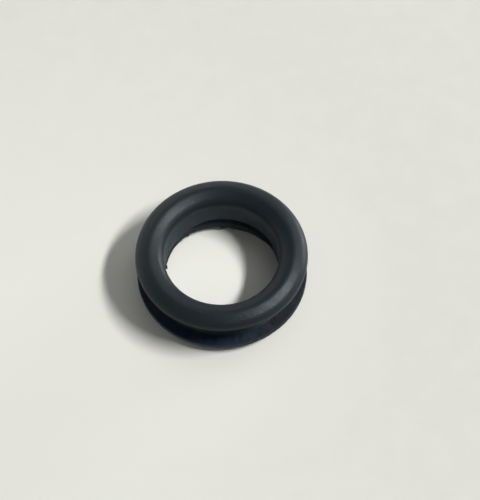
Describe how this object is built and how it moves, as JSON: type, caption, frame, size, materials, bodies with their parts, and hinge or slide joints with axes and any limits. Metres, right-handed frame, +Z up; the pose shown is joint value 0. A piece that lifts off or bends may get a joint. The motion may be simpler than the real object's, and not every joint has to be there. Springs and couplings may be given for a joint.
{
  "type": "rubber grommet",
  "caption": "Round rubber grommet with two domed flanges, a groove for the edge of a panel's hole and a straight bore for a cable.",
  "frame": {"origin": "middle of the face that the grommet rests on, on the axis of the bore", "axes": "+Z up along the axis of the bore, towards the upper flange; X and Y are free, as the body is round"},
  "size_m": [0.018, 0.018, 0.006],
  "materials": {
    "rubber": "moulded black rubber, satin"
  },
  "bodies": {
    "root": {"grommet": "rubber"}
  },
  "joints": []
}
